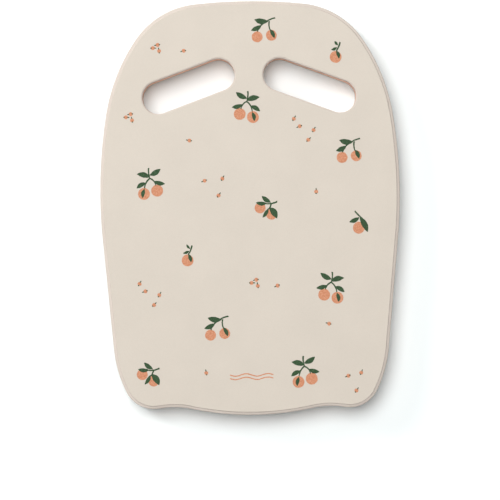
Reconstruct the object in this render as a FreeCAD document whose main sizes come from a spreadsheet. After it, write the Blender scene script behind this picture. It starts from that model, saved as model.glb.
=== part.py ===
import FreeCAD, Part
import math
import os
import Sketcher

# Kickboard: a flat swimming float laminated from three sheets of closed-cell foam.
# The printed side faces +Z and the two hand slots lie towards +Y.
# Origin: the middle of the underside, halfway along the board's length and width.

os.makedirs("parts", exist_ok=True)
doc = FreeCAD.newDocument("Kickboard")
Vector = FreeCAD.Vector
UP = Vector(0, 0, 1)
CLOSE = 1e-6

# ---------------------------------------------------------------- driving sizes, in mm and degrees

driving_sizes = {
    "board_length": 420,
    "board_width": 304,
    "board_thickness": 30,
    # The outline is a chain of tangent arcs, from the crown round to the belly.
    "crown_radius": 525,
    "shoulder_radius": 83,
    "haunch_radius": 188,
    "side_radius": 500,
    "heel_radius": 122,
    "corner_radius": 31,
    "dip_radius": 87,
    "belly_radius": 290,
    # Where those arcs sit, from the middle of the board.
    "shoulder_centre_x": 46.5,
    "widest_y": 15,
    "heel_centre_x": 18,
    "heel_centre_y": -131.5,
    "dip_centre_x": 79.5,
    # Hand slots.
    "slot_length": 98,
    "slot_width": 33,
    "slot_tilt": 20.3,
    "slot_centre_x": 61.5,
    "slot_centre_y": 124,
    # The laminate.
    "core_thickness": 10,
    "film_thickness": 0.2,
    "film_setback": 0.5,
    "board_edge_radius": 3.2,
    "slot_edge_radius": 1.8,
    # The printed side.
    "ink_thickness": 0.1,
    "fruit_diameter": 12,
    "small_fruit_diameter": 11,
    "bud_diameter": 4,
    "leaf_length": 12,
    "stalk_width": 1.5,
    "mark_width": 44,
    "mark_height": 7,
    "mark_centre_y": -171,
}

sheet = doc.addObject("Spreadsheet::Sheet", "Sizes")
for row, (alias, number) in enumerate(driving_sizes.items(), start=1):
    sheet.set("A%d" % row, alias)
    sheet.set("B%d" % row, str(number))
    sheet.setAlias("B%d" % row, alias)
doc.recompute()


def size(alias):
    return float(sheet.get(alias))


# ---------------------------------------------------------------- the outline of one sheet

# The joints of the outline run clockwise, and every arc but the dip is walked against
# its own direction, so its "end" is the joint nearer the crown.
START, END, CENTRE = 1, 2, 3
ORIGIN, Y_AXIS = -1, -2


def circles_meet(centre_a, reach_a, centre_b, reach_b):
    """The point at two given distances from two centres, the one further right."""
    line = centre_b - centre_a
    along = (line.Length ** 2 + reach_a ** 2 - reach_b ** 2) / (2 * line.Length)
    aside = math.sqrt(reach_a ** 2 - along ** 2)
    direction = line.normalize()
    foot = centre_a + direction * along
    normal = Vector(-direction.y, direction.x, 0)
    return max((foot + normal * aside, foot - normal * aside), key=lambda point: point.x)


def towards(start, finish):
    return (finish - start).normalize()


def angle_from(centre, point):
    return math.atan2(point.y - centre.y, point.x - centre.x)


def arc_between(centre, radius, start, finish):
    circle = Part.Circle(centre, UP, radius)
    return Part.ArcOfCircle(circle, angle_from(centre, start), angle_from(centre, finish))


def right_half_outline(setback):
    """The arcs and lines of the board's right half, drawn inside the edge by the setback."""
    half_length = size("board_length") / 2
    radius = {}
    for name in ("crown", "shoulder", "haunch", "side", "heel", "corner", "dip", "belly"):
        radius[name] = size(name + "_radius")

    # The centres don't depend on the setback, because every arc is offset about its own.
    centre = {
        "crown": Vector(0, half_length - radius["crown"], 0),
        "side": Vector(size("board_width") / 2 - radius["side"], size("widest_y"), 0),
        "heel": Vector(size("heel_centre_x"), size("heel_centre_y"), 0),
        "belly": Vector(0, radius["belly"] - half_length, 0),
    }
    shoulder_x = size("shoulder_centre_x")
    shoulder_rise = math.sqrt((radius["crown"] - radius["shoulder"]) ** 2 - shoulder_x ** 2)
    centre["shoulder"] = Vector(shoulder_x, centre["crown"].y + shoulder_rise, 0)
    centre["haunch"] = circles_meet(
        centre["shoulder"], radius["haunch"] - radius["shoulder"],
        centre["side"], radius["side"] - radius["haunch"])
    dip_x = size("dip_centre_x")
    dip_drop = math.sqrt((radius["belly"] + radius["dip"]) ** 2 - dip_x ** 2)
    centre["dip"] = Vector(dip_x, centre["belly"].y - dip_drop, 0)
    centre["corner"] = circles_meet(
        centre["heel"], radius["heel"] - radius["corner"],
        centre["dip"], radius["dip"] + radius["corner"])

    for name in radius:
        radius[name] += setback if name == "dip" else -setback

    # Each joint lies on the line through the two centres it joins.
    crown_top = centre["crown"] + Vector(0, radius["crown"], 0)
    belly_foot = centre["belly"] - Vector(0, radius["belly"], 0)
    crown_end = centre["crown"] + towards(centre["crown"], centre["shoulder"]) * radius["crown"]
    shoulder_end = centre["haunch"] + towards(centre["haunch"], centre["shoulder"]) * radius["haunch"]
    haunch_end = centre["side"] + towards(centre["side"], centre["haunch"]) * radius["side"]
    heel_end = centre["heel"] + towards(centre["heel"], centre["corner"]) * radius["heel"]
    corner_end = centre["dip"] + towards(centre["dip"], centre["corner"]) * radius["dip"]
    dip_end = centre["dip"] + towards(centre["dip"], centre["belly"]) * radius["dip"]

    # The straight flank touches the side arc and the heel arc at right angles to one radius.
    side_to_heel = centre["heel"] - centre["side"]
    lean = math.acos((radius["side"] - radius["heel"]) / side_to_heel.Length)
    flank_turn = angle_from(centre["side"], centre["heel"]) + lean
    flank_normal = Vector(math.cos(flank_turn), math.sin(flank_turn), 0)
    flank_start = centre["side"] + flank_normal * radius["side"]
    flank_end = centre["heel"] + flank_normal * radius["heel"]

    return {
        "crown": arc_between(centre["crown"], radius["crown"], crown_end, crown_top),
        "shoulder": arc_between(centre["shoulder"], radius["shoulder"], shoulder_end, crown_end),
        "haunch": arc_between(centre["haunch"], radius["haunch"], haunch_end, shoulder_end),
        "side": arc_between(centre["side"], radius["side"], flank_start, haunch_end),
        "flank": Part.LineSegment(flank_start, flank_end),
        "heel": arc_between(centre["heel"], radius["heel"], heel_end, flank_end),
        "corner": arc_between(centre["corner"], radius["corner"], corner_end, heel_end),
        "dip": arc_between(centre["dip"], radius["dip"], corner_end, dip_end),
        "belly": arc_between(centre["belly"], radius["belly"], belly_foot, dip_end),
        "spine": Part.LineSegment(belly_foot, crown_top),
    }


def bind(sketch, kind, places, value, expression):
    """Adds a measured constraint and ties it to the sheet."""
    number = sketch.addConstraint(Sketcher.Constraint(kind, *places, value))
    sketch.setExpression("Constraints[%d]" % number, expression)


def attached_sketch(body, name):
    sketch = body.newObject("Sketcher::SketchObject", name)
    for plane in body.Origin.OriginFeatures:
        if plane.Role == "XY_Plane":
            sketch.AttachmentSupport = [(plane, "")]
    sketch.MapMode = "FlatFace"
    return sketch


def draw_outline(body, name, setback):
    """A closed sketch of the right half of the board, from the crown to the belly."""
    sketch = attached_sketch(body, name)
    drawn = right_half_outline(size(setback) if setback else 0)
    place = {}
    for item, geometry in drawn.items():
        place[item] = sketch.addGeometry(geometry)

    joints = [
        ("crown", START, "shoulder", END), ("shoulder", START, "haunch", END),
        ("haunch", START, "side", END), ("side", START, "flank", START),
        ("flank", END, "heel", END), ("heel", START, "corner", END),
        ("corner", START, "dip", START), ("dip", END, "belly", END),
    ]
    for item, item_end, other, other_end in joints:
        sketch.addConstraint(
            Sketcher.Constraint("Tangent", place[item], item_end, place[other], other_end))
    for item, item_end, spine_end in (("belly", START, START), ("crown", END, END)):
        sketch.addConstraint(
            Sketcher.Constraint("Coincident", place[item], item_end, place["spine"], spine_end))
        for point in (item_end, CENTRE):
            sketch.addConstraint(
                Sketcher.Constraint("PointOnObject", place[item], point, Y_AXIS))

    for item in drawn:
        if item in ("flank", "spine"):
            continue
        expression = "Sizes.%s_radius" % item
        if setback:
            expression += " %s Sizes.%s" % ("+" if item == "dip" else "-", setback)
        bind(sketch, "Radius", (place[item],), drawn[item].Radius, expression)

    centre_places = [
        ("crown", "DistanceY", "Sizes.board_length / 2 - Sizes.crown_radius"),
        ("belly", "DistanceY", "Sizes.belly_radius - Sizes.board_length / 2"),
        ("side", "DistanceX", "Sizes.board_width / 2 - Sizes.side_radius"),
        ("side", "DistanceY", "Sizes.widest_y"),
        ("shoulder", "DistanceX", "Sizes.shoulder_centre_x"),
        ("heel", "DistanceX", "Sizes.heel_centre_x"),
        ("heel", "DistanceY", "Sizes.heel_centre_y"),
        ("dip", "DistanceX", "Sizes.dip_centre_x"),
    ]
    for item, kind, expression in centre_places:
        centre = drawn[item].Center
        value = centre.x if kind == "DistanceX" else centre.y
        bind(sketch, kind, (ORIGIN, START, place[item], CENTRE), value, expression)
    return sketch


def draw_hand_slot(body, name, setback):
    """The right-hand slot: a straight slot with round ends, its inner end the higher one."""
    sketch = attached_sketch(body, name)
    tilt = math.radians(size("slot_tilt"))
    half_reach = (size("slot_length") - size("slot_width")) / 2
    radius = size("slot_width") / 2 + (size(setback) if setback else 0)
    middle = Vector(size("slot_centre_x"), size("slot_centre_y"), 0)
    along = Vector(math.cos(tilt), -math.sin(tilt), 0)
    across = Vector(math.sin(tilt), math.cos(tilt), 0)
    inner = middle - along * half_reach
    outer = middle + along * half_reach

    inner_end = sketch.addGeometry(
        arc_between(inner, radius, inner + across * radius, inner - across * radius))
    lower_side = sketch.addGeometry(
        Part.LineSegment(inner - across * radius, outer - across * radius))
    outer_end = sketch.addGeometry(
        arc_between(outer, radius, outer - across * radius, outer + across * radius))
    upper_side = sketch.addGeometry(
        Part.LineSegment(outer + across * radius, inner + across * radius))
    ring = (inner_end, lower_side, outer_end, upper_side)
    for item, follower in zip(ring, ring[1:] + ring[:1]):
        sketch.addConstraint(Sketcher.Constraint("Tangent", item, END, follower, START))
    sketch.addConstraint(Sketcher.Constraint("Equal", inner_end, outer_end))

    expression = "Sizes.slot_width / 2"
    if setback:
        expression += " + Sizes.%s" % setback
    bind(sketch, "Radius", (inner_end,), radius, expression)
    reach = "(Sizes.slot_length - Sizes.slot_width) / 2"
    for item, point, sign, turn in ((inner_end, inner, "-", "+"), (outer_end, outer, "+", "-")):
        bind(sketch, "DistanceX", (ORIGIN, START, item, CENTRE), point.x,
             "Sizes.slot_centre_x %s %s * cos(Sizes.slot_tilt)" % (sign, reach))
        bind(sketch, "DistanceY", (ORIGIN, START, item, CENTRE), point.y,
             "Sizes.slot_centre_y %s %s * sin(Sizes.slot_tilt)" % (turn, reach))
    return sketch


# ---------------------------------------------------------------- foam sheets and glue films

def round_rim(body, base, side, place):
    """Rounds the edges of a sheet's top or bottom face: round the board, or round its slots."""
    shape = base.Shape
    flat = shape.BoundBox.ZMax if side == "top" else shape.BoundBox.ZMin
    rim = []
    for face in shape.Faces:
        if max(abs(face.BoundBox.ZMin - flat), abs(face.BoundBox.ZMax - flat)) > CLOSE:
            continue
        for wire in face.Wires:
            if wire.isSame(face.OuterWire) == (place == "board"):
                rim += wire.Edges
    names = ["Edge%d" % number for number, edge in enumerate(shape.Edges, start=1)
             if any(edge.isSame(other) for other in rim)]
    fillet = body.newObject("PartDesign::Fillet", "%s_%s_edge" % (body.Label, place))
    fillet.Base = (base, names)
    fillet.setExpression("Radius", "Sizes.%s_edge_radius" % place)
    body.Tip = fillet
    doc.recompute()
    return fillet


def laminate_sheet(label, thickness, height, setback=None, rounded=None):
    """One sheet of the laminate, cut to the outline with both hand slots through it.

    thickness and height are expressions on the sheet. rounded names the face, top or
    bottom, whose edges are rounded.
    """
    body = doc.addObject("PartDesign::Body", label)
    body.Label = label
    outline = draw_outline(body, label + "_outline", setback)
    pad = body.newObject("PartDesign::Pad", label + "_pad")
    pad.Profile = outline
    pad.setExpression("Length", thickness)
    doc.recompute()
    solid_volume = pad.Shape.Volume

    slot = draw_hand_slot(body, label + "_slot", setback)
    pocket = body.newObject("PartDesign::Pocket", label + "_pocket")
    pocket.Profile = slot
    pocket.Type = "ThroughAll"
    pocket.Reversed = True
    doc.recompute()
    if pocket.Shape.Volume >= solid_volume:
        raise RuntimeError("the hand slot cuts nothing out of " + label)

    mirror = body.newObject("PartDesign::Mirrored", label + "_mirror")
    mirror.Originals = [pad, pocket]
    for plane in body.Origin.OriginFeatures:
        if plane.Role == "YZ_Plane":
            mirror.MirrorPlane = (plane, [""])
    body.Tip = mirror
    doc.recompute()

    if rounded:
        board_edge = round_rim(body, mirror, rounded, "board")
        round_rim(body, board_edge, rounded, "slot")
    body.setExpression(".Placement.Base.z", height)
    doc.recompute()
    return body


outer_thickness = "(Sizes.board_thickness - Sizes.core_thickness) / 2 - Sizes.film_thickness"
core_height = "(Sizes.board_thickness - Sizes.core_thickness) / 2"

pieces = [
    laminate_sheet("bottom_ply", outer_thickness, "0", rounded="bottom"),
    laminate_sheet("lower_glue_film", "Sizes.film_thickness",
                   core_height + " - Sizes.film_thickness", setback="film_setback"),
    laminate_sheet("core_ply", "Sizes.core_thickness", core_height),
    laminate_sheet("upper_glue_film", "Sizes.film_thickness",
                   core_height + " + Sizes.core_thickness", setback="film_setback"),
    laminate_sheet("top_ply", outer_thickness,
                   core_height + " + Sizes.core_thickness + Sizes.film_thickness",
                   rounded="top"),
]

# ---------------------------------------------------------------- the printed side

# Each motif is drawn about its own middle, standing upright, and is then turned,
# mirrored and moved to its place. A point here is (x, y) in mm.


def disc(middle, diameter):
    return Part.Face(Part.Wire(Part.Circle(Vector(*middle), UP, diameter / 2).toShape()))


def leaf(base, turn, length=1.0, plumpness=0.4):
    """A pointed leaf that grows from its base: two arcs, the left one the fuller.

    length is a share of the sheet's leaf length, and plumpness is width over length.
    """
    full_share = 0.66
    reach = size("leaf_length") * length
    width = reach * plumpness
    tip = Vector(reach, 0, 0)
    belly = Part.Arc(Vector(), Vector(reach * 0.48, width * full_share, 0), tip)
    back = Part.Arc(tip, Vector(reach * 0.52, -width * (1 - full_share), 0), Vector())
    face = Part.Face(Part.Wire([belly.toShape(), back.toShape()]))
    face.rotate(Vector(), UP, turn)
    face.translate(Vector(*base))
    return face


def stalk(start, finish, bow=0.0, thickness=1.0):
    """A stalk of even width along an arc that bows to its left by the given amount."""
    start = Vector(*start)
    finish = Vector(*finish)
    half_width = size("stalk_width") * thickness / 2
    chord = finish - start
    left = Vector(-chord.y, chord.x, 0).normalize()
    middle = (start + finish) / 2 + left * bow
    tilt = 2 * math.atan2(2 * bow, chord.Length)
    start_normal = FreeCAD.Rotation(UP, math.degrees(tilt)).multVec(left) * half_width
    finish_normal = FreeCAD.Rotation(UP, -math.degrees(tilt)).multVec(left) * half_width
    corners = [start + start_normal, finish + finish_normal,
               finish - finish_normal, start - start_normal]
    if bow:
        sides = [Part.Arc(corners[0], middle + left * half_width, corners[1]),
                 Part.Arc(corners[2], middle - left * half_width, corners[3])]
    else:
        sides = [Part.LineSegment(corners[0], corners[1]), Part.LineSegment(corners[2], corners[3])]
    edges = [sides[0], Part.LineSegment(corners[1], corners[2]),
             sides[1], Part.LineSegment(corners[3], corners[0])]
    return Part.Face(Part.Wire([edge.toShape() for edge in edges]))


def twin_sprig():
    """Two fruits on a forked stalk, with two pairs of leaves and one over a fruit."""
    diameter = size("fruit_diameter")
    fruits = [disc((-6.8, -5.6), diameter), disc((6.6, -8.8), diameter)]
    greens = [
        stalk((1.6, 17.5), (0.5, 7), bow=0.6), stalk((0.5, 7), (-5.6, -0.4), bow=-1.3),
        stalk((0.5, 7), (6, -3.2), bow=1.3),
        leaf((0.2, 8), 14, 1.15), leaf((1, 10), 150, 1.1),
        leaf((-3.8, 4), 194, 0.95), leaf((4.2, 2.6), -30, 0.95),
        leaf((6, -3.6), -78, 0.8),
    ]
    return fruits, greens


def hanging_sprig():
    """Two fruits on separate stalks under one bough, with three leaves."""
    diameter = size("small_fruit_diameter")
    fruits = [disc((-7.4, -8.6), diameter), disc((7, -7), diameter)]
    greens = [
        stalk((11, 10.5), (-1, 5), bow=-0.8), stalk((-1, 5), (-7, -3.4), bow=-1),
        stalk((5, 7.4), (5.8, -1.8), bow=-0.7),
        leaf((4, 7), 172, 1.2), leaf((-2.8, 3.2), 205, 1.0), leaf((5.6, -0.8), -64, 0.85),
    ]
    return fruits, greens


def fan_sprig():
    """Two fruits under a short bough, with two leaves above and two below."""
    diameter = size("small_fruit_diameter")
    fruits = [disc((-7, 2), diameter), disc((4.6, -4.6), diameter)]
    greens = [
        stalk((10.5, 8.4), (-2, 6.6), bow=1.2), stalk((-2, 6.6), (-6, 4.4), bow=-0.3),
        stalk((4.5, 7), (1.6, 0.4), bow=0.5),
        leaf((4, 7.4), 143, 0.95), leaf((0, 6.6), 176, 0.95, 0.36),
        leaf((1.4, 1.6), 238, 0.95, 0.34), leaf((2.4, 2.6), -56, 1.15, 0.46),
    ]
    return fruits, greens


def single_sprig():
    """One fruit under a short upright stalk with three small leaves."""
    fruits = [disc((0, -4.6), size("fruit_diameter"))]
    greens = [
        stalk((4.6, 10.5), (0.6, 1), bow=0.5),
        leaf((2.8, 7), 128, 0.5, 0.42), leaf((1.8, 5), 200, 0.56, 0.42), leaf((0.8, 2), -72, 0.75),
    ]
    return fruits, greens


def bough_sprig():
    """One fruit half hidden by a long leaf, under a slanting bough."""
    fruits = [disc((0, -4), size("fruit_diameter"))]
    greens = [
        stalk((-4, 13), (6.5, 3), bow=-0.5), leaf((0.6, 6.6), 205, 0.95),
        leaf((1, 6.4), -62, 1.4, 0.36),
    ]
    return fruits, greens


def bud():
    """A tiny unripe fruit with a cap at one end and a stub of stalk at the other."""
    diameter = size("bud_diameter")
    cap_diameter = diameter * 0.35
    cap_x = diameter * 0.45
    stub_start_x = -diameter * 0.4
    stub_end_x = -diameter * 0.9
    fruits = [disc((0, 0), diameter)]
    greens = [
        disc((cap_x, 0), cap_diameter),
        stalk((stub_start_x, 0), (stub_end_x, 0), thickness=0.7),
    ]
    return fruits, greens


def wave_strokes():
    """A plain water sign: two wavy strokes, one above the other, of half-waves in a row."""
    half_waves = 4
    stroke_width = size("mark_height") * 0.16
    swing = size("mark_height") * 0.17
    stroke_gap = size("mark_height") * 0.5
    span = size("mark_width") / half_waves
    radius = (span ** 2 / 4 + swing ** 2) / (2 * swing)
    sweep = math.asin(span / 2 / radius)
    strokes = []
    for level in (-stroke_gap / 2, stroke_gap / 2):
        for number in range(half_waves):
            up = 1 if number % 2 else -1
            middle_x = (number + 0.5) * span - size("mark_width") / 2
            centre = Vector(middle_x, level - up * (radius - swing), 0)
            edges = []
            for reach, way in ((radius + stroke_width / 2, 1), (radius - stroke_width / 2, -1)):
                turns = [math.pi / 2 * up + way * sweep * share for share in (-1, 0, 1)]
                edges.append([centre + Vector(math.cos(turn), math.sin(turn), 0) * reach
                              for turn in turns])
            outer, inner = edges
            band = [Part.Arc(*outer), Part.LineSegment(outer[2], inner[0]),
                    Part.Arc(*inner), Part.LineSegment(inner[2], outer[0])]
            strokes.append(Part.Face(Part.Wire([edge.toShape() for edge in band])))
    return strokes


def ink(faces, x, y, turn=0, mirrored=False):
    """The faces of one motif, in their place on the board and raised to the ink's height."""
    raised = []
    for face in faces:
        if mirrored:
            face = face.mirror(Vector(), Vector(1, 0, 0))
        face.rotate(Vector(), UP, turn)
        face.translate(Vector(x, y, 0))
        raised.append(face.extrude(Vector(0, 0, size("ink_thickness"))))
    return raised[0].multiFuse(raised[1:]).removeSplitter() if raised[1:] else raised[0]


# Places are x, y in mm from the middle of the board, and a turn in degrees.
sprigs = [
    (hanging_sprig, 16, 182, 0, False), (single_sprig, 88, 157, 0, False),
    (twin_sprig, -3, 101, 0, False), (hanging_sprig, 101, 59, 0, False),
    (twin_sprig, -101, 24, 0, True), (fan_sprig, 17, -2, 0, False),
    (bough_sprig, 110, -17, 0, False), (single_sprig, -64, -48, 0, False),
    (twin_sprig, 81, -83, 0, False), (hanging_sprig, -34, -120, 0, False),
    (twin_sprig, 54, -168, 0, True), (fan_sprig, -104, -170, 0, False),
]
bud_trio = [(-3.3, 0, 180), (1.6, 3.2, 10), (3, -3, -80)]
bud_drift = [(-10, 10, 240), (-4, 2.5, 20), (10, -1.5, 240), (4.5, -11.5, 225)]
bud_groups = [
    (bud_trio, -94, 163), (bud_trio, -122, 93), (bud_trio, 4, -76),
    (bud_drift, 55, 80), (bud_drift, -103, -86),
]
buds = [
    (-66, 160, 15), (-61, 69, -10), (-46, 28, 20), (-28, 30, 240), (-32, 13, 235), (67, 16, -90),
    (27, -79, 20), (79, -118, -15), (-46, -167, -80), (98, -171, 20), (111, -168, 245), (106, -186, 235),
]
for group, group_x, group_y in bud_groups:
    buds += [(group_x + x, group_y + y, turn) for x, y, turn in group]

fruit_solids = []
leaf_solids = []
for draw, x, y, turn, mirrored in sprigs + [(bud, x, y, turn, False) for x, y, turn in buds]:
    fruits, greens = draw()
    green_ink = ink(greens, x, y, turn, mirrored)
    leaf_solids += green_ink.Solids
    # The two inks lie side by side, so the fruit stops where a leaf or stalk covers it.
    fruit_solids += ink(fruits, x, y, turn, mirrored).cut(green_ink).Solids
mark_solids = ink(wave_strokes(), 0, size("mark_centre_y")).Solids

for label, solids in (("fruit_print", fruit_solids), ("leaf_print", leaf_solids),
                      ("wave_mark_print", mark_solids)):
    piece = doc.addObject("Part::Feature", label)
    piece.Label = label
    piece.Shape = Part.makeCompound(solids)
    piece.Placement = FreeCAD.Placement(
        Vector(0, 0, size("board_thickness")), FreeCAD.Rotation())
    pieces.append(piece)
doc.recompute()

# ---------------------------------------------------------------- checks and files

for item in doc.Objects:
    if "Invalid" in item.State or "Error" in item.State:
        raise RuntimeError("%s failed: %s" % (item.Name, item.State))
for piece in pieces:
    if piece.Shape.isNull() or not piece.Shape.isValid():
        raise RuntimeError(piece.Label + " has no valid shape")
for piece in pieces:
    piece.Shape.exportStep("parts/%s.step" % piece.Label)
    box = piece.Shape.optimalBoundingBox()
    print("%-16s %3d solids  %10.1f mm3  x %.1f..%.1f  y %.1f..%.1f  z %.2f..%.2f" % (
        piece.Label, len(piece.Shape.Solids), piece.Shape.Volume,
        box.XMin, box.XMax, box.YMin, box.YMax, box.ZMin, box.ZMax))
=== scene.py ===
import math

import bpy
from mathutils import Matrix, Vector, geometry, kdtree, noise


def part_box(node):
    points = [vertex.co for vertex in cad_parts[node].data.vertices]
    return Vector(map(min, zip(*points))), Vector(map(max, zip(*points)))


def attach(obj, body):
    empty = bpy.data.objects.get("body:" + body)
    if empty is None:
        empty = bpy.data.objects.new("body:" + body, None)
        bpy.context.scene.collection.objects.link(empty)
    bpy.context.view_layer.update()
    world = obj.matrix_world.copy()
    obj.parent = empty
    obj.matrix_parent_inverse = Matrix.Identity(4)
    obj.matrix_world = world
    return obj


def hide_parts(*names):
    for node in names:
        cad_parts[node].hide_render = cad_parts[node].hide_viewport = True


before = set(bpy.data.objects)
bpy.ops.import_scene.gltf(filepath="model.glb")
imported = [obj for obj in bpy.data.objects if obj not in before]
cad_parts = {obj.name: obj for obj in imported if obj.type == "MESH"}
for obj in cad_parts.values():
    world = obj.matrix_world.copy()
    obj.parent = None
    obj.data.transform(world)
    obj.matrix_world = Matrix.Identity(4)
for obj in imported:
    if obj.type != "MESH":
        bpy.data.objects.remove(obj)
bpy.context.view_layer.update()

# Kickboard float: three EVA foam plies glued face to face, with a fruit print in two inks.
# Blender works in metres; the dictionaries give sizes in millimetres, and mm turns them.
mm = 0.001


def hexColour(code):
    # sRGB hex to the linear RGBA that the shader works in
    channels = [int(code[i:i + 2], 16) / 255 for i in (1, 3, 5)]
    return [c / 12.92 if c <= 0.04045 else ((c + 0.055) / 1.055) ** 2.4 for c in channels] + [1.0]


def addNode(material, kind, settings=None, links=None):
    # settings are the node's own properties or its sockets' values; links feed its sockets
    node = material.node_tree.nodes.new(kind)
    for key, value in (settings or {}).items():
        if isinstance(key, str) and hasattr(node, key):
            setattr(node, key, value)
        else:
            node.inputs[key].default_value = value
    for key, source in (links or {}).items():
        material.node_tree.links.new(source, node.inputs[key])
    return node


def newMaterial(name):
    material = bpy.data.materials.new(name)
    material.use_nodes = True
    material.node_tree.nodes.clear()
    return material


def meshPiece(name, points, faces, materials):
    mesh = bpy.data.meshes.new(name)
    mesh.from_pydata(points, [], faces)
    mesh.validate()
    piece = bpy.data.objects.new(name, mesh)
    bpy.context.scene.collection.objects.link(piece)
    for material in materials:
        mesh.materials.append(material)
    return piece


foamLook = {
    "creamSkin": "#BFB6AA",
    "creamCut": "#BFB4AA",   # the same sheet below its skin, a touch pinker
    "peachCut": "#F2BA9C",
    "mottleSize": 38,        # slow change of shade across a sheet, from the moulding
    "mottleRange": (0.3, 0.7),   # the part of the noise that carries the shade
    "mottleDepth": 0.018,
    "grainSize": 0.9,        # closed cells are about 0.2 mm; drawn coarser so that they show
    "grainRange": (0.25, 0.75),
    "grainDepth": 0.03,
    "cutGrainDepth": 0.048,  # opened cells hold more shade
    "grainHeight": 0.035,
    "cutCellSize": 0.7,      # opened cells on a cut wall are about 0.3 mm; drawn coarser too
    "cutCellBlend": 0.35,
    "cutCellHeight": 0.09,
    "bumpStrength": 0.6,
    "roughness": (0.57, 0.69),   # matte, changing with the grain
    "ior": 1.49,
}


def foamMaterial(name, code, cut):
    # EVA foam: the moulded skin is matte and even; a cut wall shows its opened cells
    look = foamLook
    material = newMaterial(name)
    place = addNode(material, "ShaderNodeTexCoord").outputs["Object"]
    mottle = addNode(material, "ShaderNodeTexNoise",
                     {"Scale": 1 / (look["mottleSize"] * mm), "Detail": 3.0, "Roughness": 0.55},
                     {"Vector": place})
    grain = addNode(material, "ShaderNodeTexNoise",
                    {"Scale": 1 / (look["grainSize"] * mm), "Detail": 2.0, "Roughness": 0.6},
                    {"Vector": place})
    relief = grain.outputs["Fac"]
    height = look["grainHeight"]
    grainDepth = look["grainDepth"]
    if cut:
        cells = addNode(material, "ShaderNodeTexVoronoi",
                        {"Scale": 1 / (look["cutCellSize"] * mm), "feature": "SMOOTH_F1",
                         "Smoothness": look["cutCellBlend"]}, {"Vector": place})
        relief = addNode(material, "ShaderNodeMath", {"operation": "ADD"},
                         {0: grain.outputs["Fac"], 1: cells.outputs["Distance"]}).outputs["Value"]
        height = look["cutCellHeight"]
        grainDepth = look["cutGrainDepth"]
    shades = []
    for pattern, (low, high), depth in ((mottle, look["mottleRange"], look["mottleDepth"]),
                                        (grain, look["grainRange"], grainDepth)):
        shade = addNode(material, "ShaderNodeMapRange",
                        {"From Min": low, "From Max": high, "To Min": 1 - depth, "To Max": 1 + depth},
                        {"Value": pattern.outputs["Fac"]})
        shades.append(shade.outputs["Result"])
    bothShades = addNode(material, "ShaderNodeMath", {"operation": "MULTIPLY"},
                         {0: shades[0], 1: shades[1]})
    colour = addNode(material, "ShaderNodeVectorMath",
                     {"operation": "SCALE", 0: hexColour(code)[:3]},
                     {"Scale": bothShades.outputs["Value"]})
    bump = addNode(material, "ShaderNodeBump",
                   {"Strength": look["bumpStrength"], "Distance": height * mm}, {"Height": relief})
    smooth, rough = look["roughness"]
    roughness = addNode(material, "ShaderNodeMapRange", {"To Min": smooth, "To Max": rough},
                        {"Value": grain.outputs["Fac"]})
    shader = addNode(material, "ShaderNodeBsdfPrincipled", {"IOR": look["ior"]},
                     {"Base Color": colour.outputs["Vector"], "Normal": bump.outputs["Normal"],
                      "Roughness": roughness.outputs["Result"]})
    addNode(material, "ShaderNodeOutputMaterial", links={"Surface": shader.outputs["BSDF"]})
    return material


inkLook = {
    "peach": "#BF8364", "peachDeep": "#B27656", "peachThin": "#C69476",
    "green": "#2E482C", "greenDeep": "#283E26", "greenThin": "#3F583B",
    "deepAt": 0.34, "fullAt": 0.56, "thinAt": 0.74,   # where the specks turn from deep to thin
    "speckSize": 1.1,        # screen mesh and foam grain leave 0.4 mm specks; drawn coarser
    "speckHeight": 0.03,
    "bumpStrength": 0.4,
    "roughness": 0.68,
    "gloss": 0.25,
    "ior": 1.48,
}


def inkMaterial(name, colour):
    # flexible screen ink: a thin matte film, uneven where the foam grain takes less of it
    look = inkLook
    material = newMaterial(name)
    place = addNode(material, "ShaderNodeTexCoord").outputs["Object"]
    specks = addNode(material, "ShaderNodeTexNoise",
                     {"Scale": 1 / (look["speckSize"] * mm), "Detail": 2.0, "Roughness": 0.5},
                     {"Vector": place})
    density = addNode(material, "ShaderNodeValToRGB", links={"Fac": specks.outputs["Fac"]})
    stops = density.color_ramp.elements
    stops[0].position = look["deepAt"]
    stops[0].color = hexColour(look[colour + "Deep"])
    stops[1].position = look["fullAt"]
    stops[1].color = hexColour(look[colour])
    stops.new(look["thinAt"]).color = hexColour(look[colour + "Thin"])
    bump = addNode(material, "ShaderNodeBump",
                   {"Strength": look["bumpStrength"], "Distance": look["speckHeight"] * mm},
                   {"Height": specks.outputs["Fac"]})
    shader = addNode(material, "ShaderNodeBsdfPrincipled",
                     {"IOR": look["ior"], "Roughness": look["roughness"],
                      "Specular IOR Level": look["gloss"]},
                     {"Base Color": density.outputs["Color"], "Normal": bump.outputs["Normal"]})
    addNode(material, "ShaderNodeOutputMaterial", links={"Surface": shader.outputs["BSDF"]})
    return material


glueLook = {
    "pooled": "#C2A878", "thin": "#D9C7A2",
    "pooledAt": 0.35, "thinAt": 0.65,
    "flowSize": 6,           # the melt flows into streaks a few millimetres long
    "flowTwist": 1.2,
    "flowHeight": 0.05,
    "bumpStrength": 0.3,
    "roughness": 0.35,
    "ior": 1.49,
}


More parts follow.
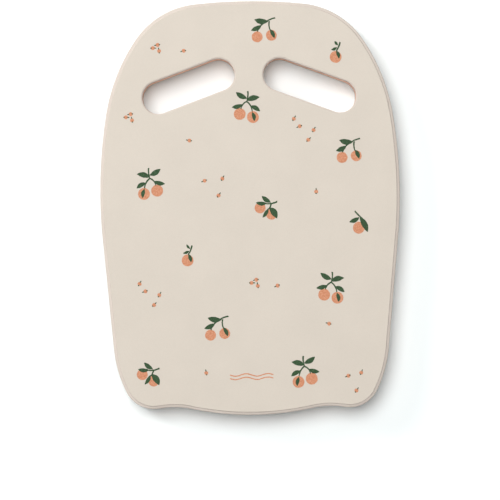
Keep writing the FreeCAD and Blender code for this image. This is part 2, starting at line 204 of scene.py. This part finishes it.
def glueMaterial(name):
    # hot-melt EVA film: pressed amber glue, pale where it ran thin and darker where it pooled
    look = glueLook
    material = newMaterial(name)
    place = addNode(material, "ShaderNodeTexCoord").outputs["Object"]
    flow = addNode(material, "ShaderNodeTexNoise",
                   {"Scale": 1 / (look["flowSize"] * mm), "Detail": 3.0,
                    "Distortion": look["flowTwist"]}, {"Vector": place})
    cloud = addNode(material, "ShaderNodeValToRGB", links={"Fac": flow.outputs["Fac"]})
    stops = cloud.color_ramp.elements
    stops[0].position = look["pooledAt"]
    stops[0].color = hexColour(look["pooled"])
    stops[1].position = look["thinAt"]
    stops[1].color = hexColour(look["thin"])
    bump = addNode(material, "ShaderNodeBump",
                   {"Strength": look["bumpStrength"], "Distance": look["flowHeight"] * mm},
                   {"Height": flow.outputs["Fac"]})
    shader = addNode(material, "ShaderNodeBsdfPrincipled",
                     {"IOR": look["ior"], "Roughness": look["roughness"]},
                     {"Base Color": cloud.outputs["Color"], "Normal": bump.outputs["Normal"]})
    addNode(material, "ShaderNodeOutputMaterial", links={"Surface": shader.outputs["BSDF"]})
    return material


creamSkin = foamMaterial("creamEvaSkin", foamLook["creamSkin"], cut=False)
creamCut = foamMaterial("creamEvaCutWall", foamLook["creamCut"], cut=True)
peachCut = foamMaterial("peachEvaCutWall", foamLook["peachCut"], cut=True)
peachInk = inkMaterial("peachScreenInk", "peach")
greenInk = inkMaterial("greenScreenInk", "green")
glueFilm = glueMaterial("hotMeltGlueFilm")
print("materials: foam skin, cut foam, screen inks, glue film")


# the core has the board's full outline, a chain of tangent arcs from the crown to the belly
boardLow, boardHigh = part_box("core_ply")
outline = {
    "length": (boardHigh.y - boardLow.y) / mm,
    "width": (boardHigh.x - boardLow.x) / mm,
    "crownRadius": 525, "shoulderRadius": 83, "haunchRadius": 188, "sideRadius": 500,
    "heelRadius": 122, "cornerRadius": 31, "dipRadius": 87, "bellyRadius": 290,
    "shoulderX": 46.5, "widestY": 15, "heelX": 18, "heelY": -131.5, "dipX": 79.5,
    "step": 1.6,             # distance between points along the edge
}
handSlot = {
    "length": 98, "width": 33,
    "tilt": 20.3,            # degrees down towards the flank
    "x": 61.5, "y": 124,     # its middle
    "step": 1.4,
}


def direction(turn):
    return Vector((math.cos(turn), math.sin(turn)))


def circlesMeet(centreA, reachA, centreB, reachB):
    # of the two points at those distances from the centres, the one further right
    line = centreB - centreA
    along = (line.length ** 2 + reachA ** 2 - reachB ** 2) / (2 * line.length)
    aside = math.sqrt(reachA ** 2 - along ** 2)
    line.normalize()
    normal = line.orthogonal()
    foot = centreA + line * along
    return max((foot + normal * aside, foot - normal * aside), key=lambda point: point.x)


def boardOutline(inset):
    # the whole edge anticlockwise, in mm, drawn inside the board by the inset
    names = ("crown", "shoulder", "haunch", "side", "heel", "corner", "dip", "belly")
    radius = {name: outline[name + "Radius"] for name in names}
    centre = {
        "crown": Vector((0, outline["length"] / 2 - radius["crown"])),
        "side": Vector((outline["width"] / 2 - radius["side"], outline["widestY"])),
        "heel": Vector((outline["heelX"], outline["heelY"])),
        "belly": Vector((0, radius["belly"] - outline["length"] / 2)),
    }
    rise = math.sqrt((radius["crown"] - radius["shoulder"]) ** 2 - outline["shoulderX"] ** 2)
    centre["shoulder"] = centre["crown"] + Vector((outline["shoulderX"], rise))
    centre["haunch"] = circlesMeet(
        centre["shoulder"], radius["haunch"] - radius["shoulder"],
        centre["side"], radius["side"] - radius["haunch"])
    drop = math.sqrt((radius["belly"] + radius["dip"]) ** 2 - outline["dipX"] ** 2)
    centre["dip"] = centre["belly"] + Vector((outline["dipX"], -drop))
    centre["corner"] = circlesMeet(
        centre["heel"], radius["heel"] - radius["corner"],
        centre["dip"], radius["dip"] + radius["corner"])

    def turnTo(start, finish):
        way = centre[finish] - centre[start]
        return math.atan2(way.y, way.x)

    flank = centre["heel"] - centre["side"]
    lean = math.acos((radius["side"] - radius["heel"]) / flank.length)
    flankTurn = math.atan2(flank.y, flank.x) + lean
    # arc name, the turn where it starts and the turn where it ends, from the belly upwards
    arcs = [
        ("belly", -math.pi / 2, turnTo("belly", "dip")),
        ("dip", turnTo("dip", "belly"), turnTo("dip", "corner")),
        ("corner", turnTo("dip", "corner") - math.pi, turnTo("heel", "corner")),
        ("heel", turnTo("heel", "corner"), flankTurn),
        ("side", flankTurn, turnTo("side", "haunch")),
        ("haunch", turnTo("side", "haunch"), turnTo("haunch", "shoulder")),
        ("shoulder", turnTo("haunch", "shoulder"), turnTo("crown", "shoulder")),
        ("crown", turnTo("crown", "shoulder"), math.pi / 2),
    ]
    half = []
    for name, start, finish in arcs:
        reach = radius[name] + (inset if name == "dip" else -inset)
        count = max(2, math.ceil(abs(finish - start) * radius[name] / outline["step"]))
        for number in range(count):
            turn = start + (finish - start) * number / count
            half.append(centre[name] + direction(turn) * reach)
        if name == "heel":
            # the straight flank up to the side arc
            low = centre["heel"] + direction(flankTurn) * reach
            high = centre["side"] + direction(flankTurn) * (radius["side"] - inset)
            steps = math.ceil((high - low).length / outline["step"])
            half += [low.lerp(high, number / steps) for number in range(steps)]
    crownTop = Vector((0, outline["length"] / 2 - inset))
    return half + [crownTop] + [Vector((-p.x, p.y)) for p in reversed(half[1:])]


def slotOutline(side, inset):
    # one hand slot anticlockwise, in mm; side is 1 for the right and -1 for the left
    tilt = math.radians(handSlot["tilt"])
    reach = (handSlot["length"] - handSlot["width"]) / 2
    radius = handSlot["width"] / 2 + inset
    middle = Vector((handSlot["x"], handSlot["y"]))
    along = direction(-tilt)
    points = []
    endSteps = math.ceil(math.pi * handSlot["width"] / 2 / handSlot["step"])
    sideSteps = math.ceil(2 * reach / handSlot["step"])
    for end, start in ((1, -math.pi / 2), (-1, math.pi / 2)):
        for number in range(endSteps):
            turn = start + math.pi * number / endSteps - tilt
            points.append(middle + along * reach * end + direction(turn) * radius)
        edge = direction(start + math.pi - tilt) * radius
        points += [middle + along * reach * end * (1 - 2 * number / sideSteps) + edge
                   for number in range(sideSteps)]
    if side < 0:
        points = [Vector((-p.x, p.y)) for p in reversed(points)]
    return points


def boardLoops(inset, slotInset):
    return [boardOutline(inset), slotOutline(-1, slotInset), slotOutline(1, slotInset)]


plyShape = {
    "edgeWidth": 3.3,        # how far in the board's outer edge is eased, with a routing cutter
    "slotWidth": 1.3,        # the slots' edges, eased with a smaller one
    "seamWidth": 0.35,       # the foam draws back a little where two plies meet
    "stepShare": 0.21,       # of an eased edge's width
    "stepLean": 54, "bandLean": 11,   # degrees down from the face
    "roundShare": 0.3,
    "roundSteps": 5,
    "creaseAngle": 17,       # edges that turn by more degrees stay crisp
    "faceStep": 4.0,         # spacing of the points across a face
    "rimGap": 0.55,          # of that spacing, kept free beside the rim's own points
    "swellHeight": 0.14,     # EVA sheet is never quite flat
    "swellSize": 55,
    "swellFade": 14,         # the swell dies out towards the edges
    "topSwell": 7.3, "undersideSwell": 14.6,   # the slice of the noise that each skin takes
}


def pointTree(points):
    tree = kdtree.KDTree(len(points))
    for number, point in enumerate(points):
        tree.insert(Vector((point.x, point.y, 0)), number)
    tree.balance()
    return tree


def flatNet(points, rings):
    # points, triangles, the given point behind each point, and the rings round each triangle
    tolerance = 1e-6
    net = geometry.delaunay_2d_cdt(points, [], rings, 1, tolerance, True)
    return net[0], net[2], net[3], net[5]


faceRim = boardLoops(plyShape["edgeWidth"], plyShape["slotWidth"])
rimTree = pointTree([point for loop in faceRim for point in loop])


def skinSwell(x, y, noiseSlice):
    # height of the skin over its nominal plane
    rimDistance = rimTree.find(Vector((x, y, 0)))[2]
    fade = min(1.0, rimDistance / plyShape["swellFade"])
    size = plyShape["swellSize"]
    wave = noise.noise(Vector((x / size, y / size, noiseSlice)))
    return wave * plyShape["swellHeight"] * fade * fade * (3 - 2 * fade)


def faceNet(loops):
    # triangles of a flat face between the edge and the slots, with even points across it
    step = plyShape["faceStep"]
    points = [p for loop in loops for p in loop]
    rings = []
    for loop in loops:
        first = rings[-1][-1] + 1 if rings else 0
        rings.append(list(range(first, first + len(loop))))
    rimSize = len(points)
    tree = pointTree(points)
    rowStep = step * math.sqrt(3) / 2
    rows = math.ceil(outline["length"] / rowStep)
    columns = math.ceil(outline["width"] / step)
    for row in range(rows + 1):
        y = -outline["length"] / 2 + row * rowStep
        for column in range(columns + 1):
            x = -outline["width"] / 2 + (column + 0.5 * (row % 2)) * step
            if tree.find(Vector((x, y, 0)))[2] > step * plyShape["rimGap"]:
                points.append(Vector((x, y)))
    _, netTriangles, givenPoints, owners = flatNet(points, rings)
    # only what lies inside the board's edge and in neither slot
    triangles = [[givenPoints[corner][0] for corner in triangle]
                 for triangle, rim in zip(netTriangles, owners) if list(rim) == [0]]
    used = {corner for triangle in triangles for corner in triangle}
    inner = sorted(corner for corner in used if corner >= rimSize)
    return points, inner, triangles, rimSize


def easedEdge(width):
    # (inset, depth) steps from a face down to the wall: the small step where the cutter
    # enters the face, a gently sloping band, and a round into the wall
    lean = math.radians(plyShape["bandLean"])
    band = width * (1 - plyShape["stepShare"])
    radius = width * plyShape["roundShare"] / (1 - math.sin(lean))
    stepDepth = width * plyShape["stepShare"] * math.tan(math.radians(plyShape["stepLean"]))
    roundDepth = stepDepth + (band - width * plyShape["roundShare"]) * math.tan(lean)
    turns = [lean + (math.pi / 2 - lean) * number / plyShape["roundSteps"]
             for number in range(plyShape["roundSteps"] + 1)]
    curve = [(radius * (1 - math.sin(turn)), roundDepth + radius * (math.cos(lean) - math.cos(turn)))
             for turn in turns]
    return [(width, 0.0), (band, stepDepth)] + curve


def edgeProfile(low, high, lowWidth, highWidth):
    # (inset, height) steps of a ply's wall, from its lower face to its upper one
    lower = [(inset, low + depth) for inset, depth in easedEdge(lowWidth)]
    upper = [(inset, high - depth) for inset, depth in easedEdge(highWidth)[::-1]]
    wall = upper[0][1] - lower[-1][1]
    middle = [(0.0, lower[-1][1] + wall * share) for share in (1 / 3, 2 / 3)]
    return lower + middle + upper


def wallQuads(ringSizes, levels):
    # the walls between a ply's two faces, level by level; a slot's walls face into the slot
    quads = []
    first = 0
    for ring, count in enumerate(ringSizes):
        for level in range(levels - 1):
            base = level * sum(ringSizes) + first
            above = base + sum(ringSizes)
            for step in range(count):
                nextStep = (step + 1) % count
                quad = [base + step, base + nextStep, above + nextStep, above + step]
                quads.append(quad[::-1] if ring else quad)
        first += count
    return quads


def foamPly(name, node, outerEdge, skin, cut, underSwell=None, topSwell=None):
    # outerEdge says which of the ply's two faces lies outside: low, high or neither
    low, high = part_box(node)
    profiles = []
    for outerWidth in (plyShape["edgeWidth"], plyShape["slotWidth"]):
        lowWidth = outerWidth if outerEdge == "low" else plyShape["seamWidth"]
        highWidth = outerWidth if outerEdge == "high" else plyShape["seamWidth"]
        profiles.append(edgeProfile(low.z / mm, high.z / mm, lowWidth, highWidth))
    levels = list(zip(*profiles))
    points = []
    for (boardInset, boardHeight), (slotInset, slotHeight) in levels:
        board, leftSlot, rightSlot = boardLoops(boardInset, slotInset)
        points += [(p.x, p.y, boardHeight) for p in board]
        points += [(p.x, p.y, slotHeight) for p in leftSlot + rightSlot]
    ringSizes = [len(loop) for loop in boardLoops(0, 0)]
    faces = wallQuads(ringSizes, len(levels))
    finishes = [1] * len(faces)

    for level, noiseSlice, up in ((0, underSwell, False), (len(levels) - 1, topSwell, True)):
        (boardInset, height), (slotInset, _) = levels[level]
        net, inner, triangles, rimSize = faceNet(boardLoops(boardInset, slotInset))
        place = {number: level * rimSize + number for number in range(rimSize)}
        for number in inner:
            x, y = net[number]
            place[number] = len(points)
            swell = skinSwell(x, y, noiseSlice) if noiseSlice else 0
            # the underside only hollows upwards, because it rests on the floor
            points.append((x, y, height + (swell if up else abs(swell))))
        for triangle in triangles:
            corners = [place[corner] for corner in triangle]
            a, b, c = (net[corner] for corner in triangle)
            turnsLeft = (b - a).cross(c - a) > 0
            faces.append(corners if turnsLeft == up else corners[::-1])
            finishes.append(0)

    piece = meshPiece(name, [(x * mm, y * mm, z * mm) for x, y, z in points], faces, [skin, cut])
    piece.data.polygons.foreach_set("material_index", finishes)
    piece.data.polygons.foreach_set("use_smooth", [True] * len(finishes))
    piece.data.set_sharp_from_angle(angle=math.radians(plyShape["creaseAngle"]))
    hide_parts(node)
    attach(piece, "root")
    print(name, len(faces), "faces")


foamPly("creamTopFoam", "top_ply", "high", creamSkin, creamCut,
        topSwell=plyShape["topSwell"])
foamPly("peachCoreFoam", "core_ply", "neither", peachCut, peachCut)
foamPly("creamBottomFoam", "bottom_ply", "low", creamSkin, creamCut,
        underSwell=plyShape["undersideSwell"])

for node in ("lower_glue_film", "upper_glue_film"):
    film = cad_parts[node]
    film.data.materials.clear()
    film.data.materials.append(glueFilm)
print("glue films: own shape kept, glue material given")


printShape = {
    "fruit": 12.0, "smallFruit": 11.0, "bud": 4.0, "leaf": 12.0, "stalk": 1.5,
    "leafFullSide": 0.66,    # the share of a leaf's width on its fuller side
    "stalkEnds": (1.1, 0.8),   # shares of a stalk's width where it starts and where it ends
    "markWidth": 44.0, "markHeight": 7.0, "markY": -171.0,
    "markHalfWaves": 4,
    "markGap": 0.5, "markSwing": 0.17, "markStroke": 0.16,   # shares of the mark's height
    "inkRise": 0.07,         # real screen ink is 0.03 mm; a little more keeps it off the foam
    "inkSink": 0.03,         # how deep its underside sits in the skin
    "edgeStep": 0.45,        # distance between points along a printed edge
    "wander": 0.22,          # the drawing's edges wander by about this much, as from a brush
    "wanderSize": 2.6,
    "wanderSlices": (3.1, 8.7),   # of the noise, for sideways and upwards
}


def discShape(x, y, diameter):
    count = math.ceil(math.pi * diameter / printShape["edgeStep"])
    turns = [2 * math.pi * number / count for number in range(count)]
    return [Vector((x, y)) + direction(turn) * diameter / 2 for turn in turns]


def leafShape(base, turn, length=1.0, plumpness=0.4):
    # a pointed leaf from its base to its tip and back, its left side the fuller
    fullShare = printShape["leafFullSide"]
    reach = printShape["leaf"] * length
    width = reach * plumpness
    along = direction(math.radians(turn))
    left = Vector((-along.y, along.x))
    count = math.ceil(reach / printShape["edgeStep"])
    edge = []
    for start, way, side in ((0, 1, fullShare - 1), (1, -1, fullShare)):
        for number in range(count):
            share = start + way * number / count
            bulge = 4 * share * (1 - share)
            edge.append(Vector(base) + along * reach * share + left * width * side * bulge)
    return edge


def stalkShape(start, finish, bow=0.0, thickness=1.0):
    # an arched stroke that is a little thinner where it ends
    start, finish = Vector(start), Vector(finish)
    chord = finish - start
    left = Vector((-chord.y, chord.x)).normalized()
    startShare, endShare = printShape["stalkEnds"]
    count = math.ceil(chord.length / printShape["edgeStep"])
    right, back = [], []
    for number in range(count + 1):
        share = number / count
        middle = start + chord * share + left * bow * 4 * share * (1 - share)
        half = printShape["stalk"] * thickness / 2 * (startShare + (endShare - startShare) * share)
        right.append(middle - left * half)
        back.append(middle + left * half)
    return right + back[::-1]


def twinSprig():
    fruits = [discShape(-6.8, -5.6, printShape["fruit"]), discShape(6.6, -8.8, printShape["fruit"])]
    return fruits, [
        stalkShape((1.6, 17.5), (0.5, 7), 0.6), stalkShape((0.5, 7), (-5.6, -0.4), -1.3),
        stalkShape((0.5, 7), (6, -3.2), 1.3), leafShape((0.2, 8), 14, 1.15),
        leafShape((1, 10), 150, 1.1), leafShape((-3.8, 4), 194, 0.95),
        leafShape((4.2, 2.6), -30, 0.95), leafShape((6, -3.6), -78, 0.8)]


def hangingSprig():
    small = printShape["smallFruit"]
    return [discShape(-7.4, -8.6, small), discShape(7, -7, small)], [
        stalkShape((11, 10.5), (-1, 5), -0.8), stalkShape((-1, 5), (-7, -3.4), -1),
        stalkShape((5, 7.4), (5.8, -1.8), -0.7), leafShape((4, 7), 172, 1.2),
        leafShape((-2.8, 3.2), 205), leafShape((5.6, -0.8), -64, 0.85)]


def fanSprig():
    small = printShape["smallFruit"]
    return [discShape(-7, 2, small), discShape(4.6, -4.6, small)], [
        stalkShape((10.5, 8.4), (-2, 6.6), 1.2), stalkShape((-2, 6.6), (-6, 4.4), -0.3),
        stalkShape((4.5, 7), (1.6, 0.4), 0.5), leafShape((4, 7.4), 143, 0.95),
        leafShape((0, 6.6), 176, 0.95, 0.36), leafShape((1.4, 1.6), 238, 0.95, 0.34),
        leafShape((2.4, 2.6), -56, 1.15, 0.46)]


def singleSprig():
    return [discShape(0, -4.6, printShape["fruit"])], [
        stalkShape((4.6, 10.5), (0.6, 1), 0.5), leafShape((2.8, 7), 128, 0.5, 0.42),
        leafShape((1.8, 5), 200, 0.56, 0.42), leafShape((0.8, 2), -72, 0.75)]


def boughSprig():
    return [discShape(0, -4, printShape["fruit"])], [
        stalkShape((-4, 13), (6.5, 3), -0.5), leafShape((0.6, 6.6), 205, 0.95),
        leafShape((1, 6.4), -62, 1.4, 0.36)]


def budSprig():
    bud = printShape["bud"]
    return [discShape(0, 0, bud)], [
        discShape(bud * 0.45, 0, bud * 0.35), stalkShape((-bud * 0.4, 0), (-bud * 0.9, 0), 0, 0.7)]


def waveMark():
    # a plain water sign: two wavy strokes, one above the other
    width, height = printShape["markWidth"], printShape["markHeight"]
    swing = height * printShape["markSwing"]
    waveTurn = math.pi * printShape["markHalfWaves"]
    count = math.ceil(width / printShape["edgeStep"])
    strokes = []
    for side in (-1, 1):
        level = side * height * printShape["markGap"] / 2
        lower, upper = [], []
        for number in range(count + 1):
            share = number / count
            middle = Vector(((share - 0.5) * width, level - swing * math.sin(waveTurn * share)))
            slope = -swing * waveTurn / width * math.cos(waveTurn * share)
            half = Vector((-slope, 1)).normalized() * height * printShape["markStroke"] / 2
            lower.append(middle - half)
            upper.append(middle + half)
        strokes.append(lower + upper[::-1])
    return strokes, []


# x, y in mm from the middle of the board, and whether the sprig is mirrored
sprigPlaces = [
    (hangingSprig, 16, 182, False), (singleSprig, 88, 157, False), (twinSprig, -3, 101, False),
    (hangingSprig, 101, 59, False), (twinSprig, -101, 24, True), (fanSprig, 17, -2, False),
    (boughSprig, 110, -17, False), (singleSprig, -64, -48, False), (twinSprig, 81, -83, False),
    (hangingSprig, -34, -120, False), (twinSprig, 54, -168, True), (fanSprig, -104, -170, False),
]
# x, y and the way each bud points, in degrees; the trio and the drift are repeated
budTrio = [(-3.3, 0, 180), (1.6, 3.2, 10), (3, -3, -80)]
budDrift = [(-10, 10, 240), (-4, 2.5, 20), (10, -1.5, 240), (4.5, -11.5, 225)]
budGroups = [(budTrio, -94, 163), (budTrio, -122, 93), (budTrio, 4, -76),
             (budDrift, 55, 80), (budDrift, -103, -86)]
budPlaces = [
    (-66, 160, 15), (-61, 69, -10), (-46, 28, 20), (-28, 30, 240), (-32, 13, 235), (67, 16, -90),
    (27, -79, 20), (79, -118, -15), (-46, -167, -80), (98, -171, 20), (111, -168, 245),
    (106, -186, 235),
]
for group, groupX, groupY in budGroups:
    budPlaces += [(groupX + x, groupY + y, turn) for x, y, turn in group]


def handDrawn(point):
    # neighbouring edges wander together, so shapes that touch stay touching
    size = printShape["wanderSize"]
    drift = [noise.noise(Vector((point.x / size, point.y / size, noiseSlice)))
             for noiseSlice in printShape["wanderSlices"]]
    return point + Vector(drift) * printShape["wander"]


def printedNet(fruits, greens, x, y, turn, mirrored):
    # the flat triangles of one motif's two inks; a fruit stops where a leaf or stalk covers it
    angle = math.radians(turn)
    points = []
    rings = []
    for shape in fruits + greens:
        rings.append(list(range(len(points), len(points) + len(shape))))
        for p in shape[::-1] if mirrored else shape:
            px = -p.x if mirrored else p.x
            placed = Vector((x + px * math.cos(angle) - p.y * math.sin(angle),
                             y + px * math.sin(angle) + p.y * math.cos(angle)))
            points.append(handDrawn(placed))
    flat, triangles, _, allOwners = flatNet(points, rings)
    fruitFaces, greenFaces = [], []
    for triangle, owners in zip(triangles, allOwners):
        if any(owner >= len(fruits) for owner in owners):
            greenFaces.append(list(triangle))
        elif owners:
            fruitFaces.append(list(triangle))
    return flat, fruitFaces, greenFaces


def addInkPatch(patch, flat, triangles, skinHeight):
    # closes the flat triangles into a thin film that follows the foam's skin
    points, faces = patch
    used = sorted({corner for triangle in triangles for corner in triangle})
    top = {corner: len(points) + number for number, corner in enumerate(used)}
    under = {corner: len(points) + len(used) + number for number, corner in enumerate(used)}
    for rise in (printShape["inkRise"], -printShape["inkSink"]):
        points += [(flat[corner].x, flat[corner].y,
                    skinHeight + skinSwell(*flat[corner], plyShape["topSwell"]) + rise)
                   for corner in used]
    sides = set()
    for triangle in triangles:
        a, b, c = (flat[corner] for corner in triangle)
        if (b - a).cross(c - a) < 0:
            triangle = triangle[::-1]
        faces.append([top[corner] for corner in triangle])
        faces.append([under[corner] for corner in triangle[::-1]])
        sides |= {(triangle[0], triangle[1]), (triangle[1], triangle[2]), (triangle[2], triangle[0])}
    for start, finish in sorted(sides):
        if (finish, start) not in sides:
            faces.append([under[start], under[finish], top[finish], top[start]])


def inkPiece(name, node, patch, material):
    points, faces = patch
    piece = meshPiece(name, [(x * mm, y * mm, z * mm) for x, y, z in points], faces, [material])
    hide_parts(node)
    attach(piece, "root")
    print(name, len(faces), "faces")


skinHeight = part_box("top_ply")[1].z / mm
fruitPatch, leafPatch, wavePatch = ([], []), ([], []), ([], [])
motifs = [(sprig(), x, y, 0, mirrored) for sprig, x, y, mirrored in sprigPlaces]
motifs += [(budSprig(), x, y, turn, False) for x, y, turn in budPlaces]
for (fruits, greens), x, y, turn, mirrored in motifs:
    flat, fruitFaces, greenFaces = printedNet(fruits, greens, x, y, turn, mirrored)
    addInkPatch(fruitPatch, flat, fruitFaces, skinHeight)
    addInkPatch(leafPatch, flat, greenFaces, skinHeight)
flat, strokeFaces, _ = printedNet(*waveMark(), 0, printShape["markY"], 0, False)
addInkPatch(wavePatch, flat, strokeFaces, skinHeight)
inkPiece("peachFruitInk", "fruit_print", fruitPatch, peachInk)
inkPiece("greenLeafInk", "leaf_print", leafPatch, greenInk)
inkPiece("peachWaveInk", "wave_mark_print", wavePatch, peachInk)


# light powers in watts, sizes and places in metres
studio = {
    "floorColour": "#EBF0F0", "floorRoughness": 0.9, "floorGloss": 0.1, "floorReach": 6,
    "keyPower": 170, "keySize": 3.2, "keyPlace": (-0.62, 1.1, 3.8),
    "rimPower": 170, "rimSize": 1.8, "rimPlace": (-4.4, 3.2, 2.54),
    "fillPower": 10, "fillSize": 2.4, "fillPlace": (0.8, -2.6, 2.3),
    "skyStrength": 0.24,
}
lens = {
    "distance": 2.6,         # metres above the printed face
    "focal": 184.6, "sensor": 36,
    "aimX": -0.6, "aimY": -42.6,   # the point of the board straight below
    "roll": -0.52,           # degrees
}

# a sweep of matte uncoated paper: white and even, with hardly any gloss
floorMaterial = newMaterial("paperSweep")
floorShader = addNode(floorMaterial, "ShaderNodeBsdfPrincipled",
                      {"Base Color": hexColour(studio["floorColour"]),
                       "Roughness": studio["floorRoughness"],
                       "Specular IOR Level": studio["floorGloss"]})
addNode(floorMaterial, "ShaderNodeOutputMaterial", links={"Surface": floorShader.outputs["BSDF"]})
reach = studio["floorReach"]
floor = meshPiece("paperFloor",
                  [(-reach, -reach, 0), (reach, -reach, 0), (reach, reach, 0), (-reach, reach, 0)],
                  [(0, 1, 2, 3)], [floorMaterial])


def areaLight(name, power, size, place):
    data = bpy.data.lights.new(name, "AREA")
    data.energy = power
    data.shape = "DISK"
    data.size = size
    light = bpy.data.objects.new(name, data)
    light.location = place
    light.rotation_euler = (-Vector(place)).to_track_quat("-Z", "Y").to_euler()
    light.visible_camera = False
    bpy.context.scene.collection.objects.link(light)


for lightName, part in (("overheadSoftbox", "key"), ("sideSoftbox", "rim"), ("frontBounce", "fill")):
    areaLight(lightName, studio[part + "Power"], studio[part + "Size"], studio[part + "Place"])

world = bpy.data.worlds.new("studioWhite")
bpy.context.scene.world = world
world.use_nodes = True
sky = world.node_tree.nodes["Background"]
sky.inputs["Color"].default_value = (1, 1, 1, 1)
sky.inputs["Strength"].default_value = studio["skyStrength"]

cameraData = bpy.data.cameras.new("overheadCamera")
cameraData.lens = lens["focal"]
cameraData.sensor_width = lens["sensor"]
camera = bpy.data.objects.new("overheadCamera", cameraData)
camera.location = (lens["aimX"] * mm, lens["aimY"] * mm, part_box("top_ply")[1].z + lens["distance"])
camera.rotation_euler = (0, 0, math.radians(lens["roll"]))
bpy.context.scene.collection.objects.link(camera)
bpy.context.scene.camera = camera
bpy.context.scene.view_settings.view_transform = "Standard"
print("stage, light and camera set")
